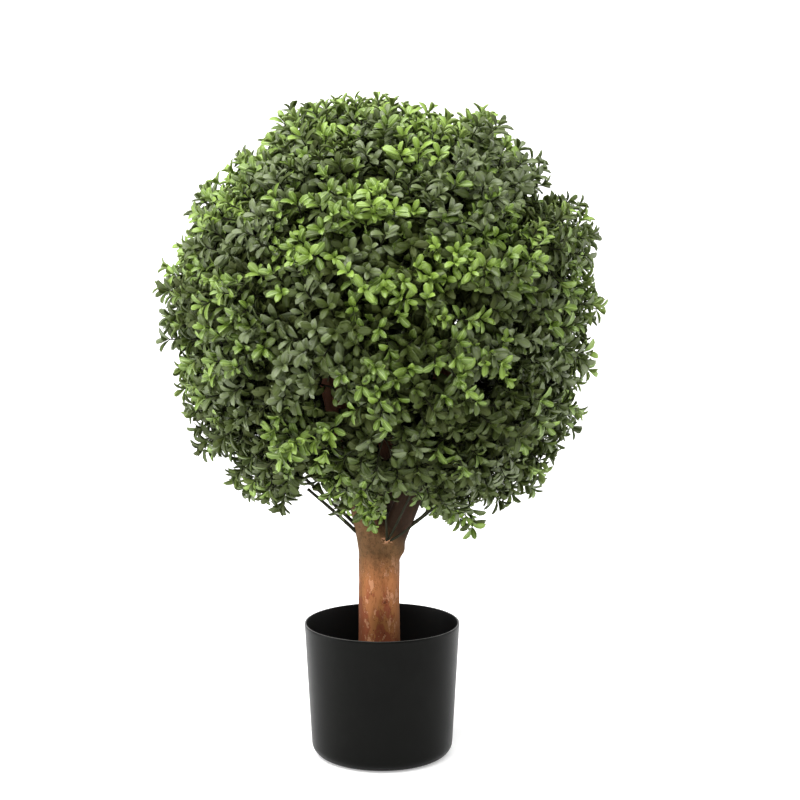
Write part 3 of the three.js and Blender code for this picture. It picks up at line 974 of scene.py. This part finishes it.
# %% Regions of the ball
near_leaves = {}
deep_leaves = {}
TOP_REGION, UNDER_REGION = 0.7, -0.62  # the height of an aim, from -1 to 1


def region_of(aim):
    if aim[2] > TOP_REGION:
        return "top"
    if aim[2] < UNDER_REGION:
        return "under"
    quarter = int((math.degrees(math.atan2(aim[1], aim[0])) + 45) % 360 // 90)
    return ("right", "back", "left", "front")[quarter]


print("sprigs at the front:", sum(region_of(aim) == "front" for aim, *_ in sprigs))

# %% Gaps that stay open
# The open part of the fork, in X, in Y and up to a height in Z. Two gaps in the foliage run back to the left
# and the back limb: their middles and half sizes in X and Z.
FORK_GAP = (3, 32), (-160, 0), 254
LIMB_GAPS = [((-45, 336), (6.5, 15)), ((1.5, 288), (6, 9))]
GAP_SLOPE = 0.13


def hides_fork(point):
    (left, right), (front, back), top = FORK_GAP
    return left < point[0] < right and front < point[1] < back and point[2] < top


def in_limb_gap(point):
    level = point[2] + GAP_SLOPE * point[1]
    return point[1] < 0 and any(
        abs(point[0] - x) < wide and abs(level - z) < high for (x, z), (wide, high) in LIMB_GAPS)


print("gaps kept open:", 1 + len(LIMB_GAPS))

# %% One pair of leaves
TURN_PLAY, LEAN_PLAY, TWIST_PLAY = 0.35, 28, 0.9  # radians, degrees, radians: no two leaves stand alike
DARKER_UNDER, LIGHTER_OVER = 0.17, 0.88


def turned(vector, axis, angle):
    """The vector turned about a unit axis."""
    return (vector * math.cos(angle) + np.cross(axis, vector) * math.sin(angle)
            + axis * (axis @ vector) * (1 - math.cos(angle)))


def add_pair(store, region, foot, axis, roll, lean, size, colour):
    across = unit(np.cross(axis, OFF_AXIS))
    for half in (0, 1):
        turn = roll + half * math.pi + TURN_PLAY * (draw() - 0.5)
        tilt = math.radians(lean + LEAN_PLAY * (draw() - 0.5))
        along = unit(axis * math.cos(tilt) + turned(across, axis, turn) * math.sin(tilt))
        side = unit(np.cross(along, axis))
        side = turned(side, along, TWIST_PLAY * (draw() - 0.5))
        pick = draw()
        lighter = pick > LIGHTER_OVER and colour != SHADE
        tint = DARKER[colour] if pick < DARKER_UNDER else LIGHTER[colour] if lighter else colour
        leaf = (foot, side, along, np.cross(side, along), size * (0.9 + 0.2 * draw()), tint)
        hidden = in_limb_gap(foot + along * size) or in_limb_gap(foot + along * 0.5 * size)
        if not hidden and not hides_fork(foot + along * size):
            store.setdefault(region, []).append(leaf)


# %% Leaves on every sprig
PAIR_GAP, PAIRS, NEAR_PAIRS = 6.2, 9, 3
TIP_PAIRS = [(0, 22, 11.6), (2, 44, 14.2)]  # mm back from the tip, lean in degrees, length in mm
YOUNG_LEAF, OLD_LEAF, TWIG_LEAF, ARM_LEAF = 14.8, 16.5, 20.5, 28  # mm
FIRST_LEAN, MORE_LEAN, MOST_LEAN = 47, 8, 78  # degrees: pairs further down a sprig stand off it more
OLD_LEAN, OLD_TURN = 66, 1.3


def point_at(run, length, spot):
    return np.array([np.interp(spot, length, run[:, axis]) for axis in range(3)])


def dress(aim, run, colour, hangs):
    region = region_of(aim)
    length = run_length(run)
    roll = draw() * math.pi
    tip_axis = unit(run[-1] - run[-2])
    vigour = (0.85 + 0.3 * draw()) * (0.88 if hangs else 1)
    tip_colour = colour if colour in (SHADE, DEEP) else LIGHTER[colour]
    # Painted light: near the top the oldest leaves take the deep green instead of the shade green.
    oldest = DEEP if aim[2] > TOP_ABOVE else SHADE
    for number, (back, lean, size) in enumerate(TIP_PAIRS):
        add_pair(near_leaves, region, run[-1] - tip_axis * back, tip_axis, roll + number * math.pi / 2, lean,
                 size * vigour, tip_colour)
    for pair in range(1, PAIRS + 1):
        spot = length[-1] - 2 - pair * PAIR_GAP
        if spot < 3:
            break
        foot = point_at(run, length, spot)
        ahead = point_at(run, length, spot + 3)
        lean = min(MOST_LEAN, FIRST_LEAN + MORE_LEAN * pair)
        shade = colour if pair <= 2 else DARKER[colour] if pair <= NEAR_PAIRS else oldest
        store, size = (near_leaves, YOUNG_LEAF) if pair <= NEAR_PAIRS else (deep_leaves, OLD_LEAF)
        if hangs or is_clear(foot, 3)[0]:
            turn = roll + pair * math.pi / 2
            add_pair(store, region, foot, unit(ahead - foot), turn, lean, size * vigour, shade)


for number, (aim, run, colour) in enumerate(sprigs):
    dress(aim, run, SPRAY_GREEN[colour], number >= len(sprigs) - hanging)
print("near leaves:", sum(map(len, near_leaves.values())))


# %% Leaves inside the crown
def old_leaves(aim, run, shares, size, margin=None):
    """Dark leaves along a whole run, at these shares of its length."""
    length = run_length(run)
    for number, spot in enumerate(shares * length[-1]):
        foot, behind = point_at(run, length, spot), point_at(run, length, spot - 4)
        if margin is None or is_clear(foot, margin)[0]:
            turn = OLD_TURN * number
            add_pair(deep_leaves, region_of(aim), foot, unit(foot - behind), turn, OLD_LEAN, size, SHADE)


# The twigs and arms themselves still carry old leaves, which close the inside of the crown to the light.
for aim, run in zip(twig_aims, twigs):
    old_leaves(aim, run, np.linspace(0.12, 1, 26), TWIG_LEAF, margin=10)
for arm in arms:
    old_leaves(unit(arm[-1] - HEART), arm, np.linspace(0.12, 1, 44), ARM_LEAF, margin=10)

# A few old shoots inside the crown close the last straight lines through it.
INNER_TIPS = [(38, 42, 359), (42, 66, 361), (-29, 44, 315), (-32, 66, 317)]
twig_points = np.concatenate(twigs)
inner_runs = []
for tip in INNER_TIPS:
    tip = np.array(tip, float)
    bend = tip + [0, 30, 0]
    root = twig_points[int(np.argmin(np.linalg.norm(twig_points - bend, axis=1)))]
    inner_runs.append(bowed(root, bend, tip, RUN_POINTS))
    old_leaves(unit(tip - CROWN_CENTRE), inner_runs[-1], np.linspace(1, 0.3, 6), TWIG_LEAF)
print("deep leaves:", sum(map(len, deep_leaves.values())))

# %% [markdown]
# Each region of the ball becomes one mesh, which keeps every piece a handy size. The template's corner
# points are carried into each leaf's own directions in one array product, a little narrower than drawn.

# %% Leaf meshes
LEAF_WIDTH = 0.93


def spread_leaves(template, leaves):
    spots, faces, parts = template
    foot, side, along, up = (np.array([leaf[i] for leaf in leaves]) for i in range(4))
    size = np.array([leaf[4] for leaf in leaves])[:, None, None]
    points = foot[:, None] + size * (
        LEAF_WIDTH * spots[None, :, 0:1] * side[:, None]
        + spots[None, :, 1:2] * along[:, None] + spots[None, :, 2:3] * up[:, None])
    starts = np.arange(len(leaves)) * len(spots)
    sides = [[start + corner for corner in face] for start in starts.tolist() for face in faces]
    slots = []
    for leaf in leaves:
        colour = leaf[5]
        slots.extend([LEAF_PARTS[part].get(colour, colour) for part in parts])
    return points.reshape(-1, 3), sides, slots


for region in ("top", "front", "right", "back", "left", "under"):
    batches = [spread_leaves(near_leaf, near_leaves[region]), spread_leaves(deep_leaf, deep_leaves[region])]
    leaves = place_piece("leaves_" + region, joined_mesh("leaves_" + region, batches), leaf_materials)
    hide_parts("foliage_ball")

# %% [markdown]
# ## Twig meshes
# The arms, twigs and sprigs are dark green plastic on a wire. Arms are six-sided bars, twigs five-sided and
# sprigs three-sided, because they are thin and mostly hidden.

# %% Twigs
stem_plastic, tree, shader = mottled("stem_plastic", 0.6, 0.08, srgb(50, 51, 36), srgb(25, 26, 17), 160.0)
add_grain(tree, shader, 800.0, 0.4, 0.0005)

SPRIG_POINTS = [0, 1, 2, 4, 5, 7, 8]  # the points of a run that a sprig's own bar keeps
arm_template, twig_template = bar_template(6, RUN_POINTS), bar_template(5, RUN_POINTS)
sprig_template = bar_template(3, len(SPRIG_POINTS))
crown_stem = np.linspace(limb_paths["back"][-1] - [0, 0, 4], HEART, RUN_POINTS)
sprig_runs = [run[SPRIG_POINTS] for _, run, _ in sprigs]
batches = bars(arm_template, [crown_stem], np.linspace(7, 6, RUN_POINTS))
batches += bars(arm_template, arms, np.linspace(4, 2.6, RUN_POINTS))
batches += bars(twig_template, twigs, np.linspace(2.2, 1.3, RUN_POINTS))
batches += bars(sprig_template, sprig_runs, np.linspace(1.0, 0.55, len(SPRIG_POINTS)))
batches += bars(twig_template, inner_runs, np.linspace(1.2, 0.8, RUN_POINTS))
twig_piece = place_piece("twigs", joined_mesh("twigs", batches), [stem_plastic])
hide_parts("foliage_ball")

# %% [markdown]
# ## Stems round the fork
# Six thin stems start at the fork and bow outwards into the crown's underside. They are moulded like real
# twigs, with a slight swelling where each pair of leaves was, so their radius is not one plain taper.

# %% Stems
STEMS = {
    "left_low": [(-17, -5, 203), (-40, -11, 227), (-67, -16, 251)],
    "left_high": [(-17, -1, 208), (-41, -3, 233), (-69, -6, 258)],
    "right_low": [(18, -5, 210), (38, -8, 222), (64, -12, 250)],
    "front_left": [(4.4, -12.6, 201.2), (4, -27, 226), (2, -52, 256)],
    "front_right": [(4.6, -12.6, 201.2), (16, -27, 226), (27, -48, 255)],
    "front_outer": [(4.8, -12.6, 201.2), (29, -27, 216), (52, -40, 250)],
}
STEM_SIDES, STEM_RINGS, SWELLINGS, SWELLING = 8, 29, 6, 0.16
stem_template = bar_template(STEM_SIDES, STEM_RINGS)
shares = np.linspace(0, 1, STEM_RINGS)
swollen = 1 + SWELLING * np.maximum(0, np.cos(shares * math.tau * SWELLINGS)) ** 6
batches = []
for start, bow, end in STEMS.values():
    foot_radius = 1.15 if start[1] < -6 else 1.9  # the front stems are the thin ones
    run = bowed(*map(np.array, (start, bow, end)), STEM_RINGS)
    batches += bars(stem_template, [run], foot_radius * (1 - 0.25 * shares) * swollen)
stems = place_piece("stems", joined_mesh("stems", batches), [stem_plastic])
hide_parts(*["stem_" + name for name in STEMS])

# %% [markdown]
# ## Floor and light
# The set is a white sweep: a floor that curves up into a wall, so that no horizon shows from the front. Two
# soft panels stand at the sides, one hangs overhead for the top of the ball, and one stands in front. Two
# narrow strips beside the black pot draw the pale lines down its sides.

# %% Sweep
SWEEP_FRONT, SWEEP_BEND, SWEEP_CURVE, SWEEP_TOP, SWEEP_HALF = -3.0, 1.2, 0.9, 4.0, 4  # metres
sweep = bmesh.new()
section = [(0, SWEEP_FRONT, 0), (0, SWEEP_BEND, 0)]
for turn in np.linspace(0.2, math.pi / 2, 8):
    section.append((0, SWEEP_BEND + SWEEP_CURVE * math.sin(turn), SWEEP_CURVE - SWEEP_CURVE * math.cos(turn)))
section.append((0, SWEEP_BEND + SWEEP_CURVE, SWEEP_TOP))
spots = [sweep.verts.new(Vector(spot) + Vector((-SWEEP_HALF, 0, 0))) for spot in section]
edges = [sweep.edges.new(pair) for pair in zip(spots, spots[1:])]
drawn = bmesh.ops.extrude_edge_only(sweep, edges=edges)["geom"]
far_side = [part for part in drawn if isinstance(part, bmesh.types.BMVert)]
bmesh.ops.translate(sweep, vec=(2 * SWEEP_HALF, 0, 0), verts=far_side)
bmesh.ops.recalc_face_normals(sweep, faces=sweep.faces)
sweep_mesh = bpy.data.meshes.new("sweep")
sweep.to_mesh(sweep_mesh)
sweep.free()
sweep_mesh.polygons.foreach_set("use_smooth", [True] * len(sweep_mesh.polygons))
sweep_paint, tree, shader = mottled(
    "sweep_paint", 0.9, PLAIN_SHEEN, (0.86, 0.86, 0.86, 1), (0.84, 0.84, 0.84, 1), 3.0)
shader.inputs["Emission Color"].default_value = (1, 1, 1, 1)
shader.inputs["Emission Strength"].default_value = 0.36
sweep_mesh.materials.append(sweep_paint)
floor = bpy.data.objects.new("sweep", sweep_mesh)
scene.collection.objects.link(floor)
print("sweep faces:", len(sweep_mesh.polygons))


# %% Lights
def soft_panel(name, location, size, power):
    panel = bpy.data.lights.new(name, "AREA")
    panel.shape = "RECTANGLE"
    panel.size, panel.size_y = size
    panel.energy = power
    holder = bpy.data.objects.new(name, panel)
    holder.location = location
    holder.rotation_euler = (Vector((0, 0, 0.35)) - holder.location).to_track_quat("-Z", "Y").to_euler()
    scene.collection.objects.link(holder)


soft_panel("panel_left", (-2.0, -0.2, 1.1), (0.9, 2.0), 25)
soft_panel("panel_right", (2.0, 0.1, 0.9), (0.9, 1.8), 17)
soft_panel("panel_above", (-0.4, -0.5, 2.3), (2.6, 2.2), 112)
soft_panel("panel_front", (-0.3, -2.1, 1.8), (1.6, 1.4), 12)
soft_panel("strip_left", (-0.9, -0.1, 0.1), (0.14, 0.3), 2.2)
soft_panel("strip_right", (0.9, 0.0, 0.1), (0.14, 0.3), 0.7)
world = bpy.data.worlds.new("soft_room")
scene.world = world
world.use_nodes = True
world.node_tree.nodes["Background"].inputs["Color"].default_value = (1, 1, 1, 1)
world.node_tree.nodes["Background"].inputs["Strength"].default_value = 0.3
scene.view_settings.view_transform = "Standard"
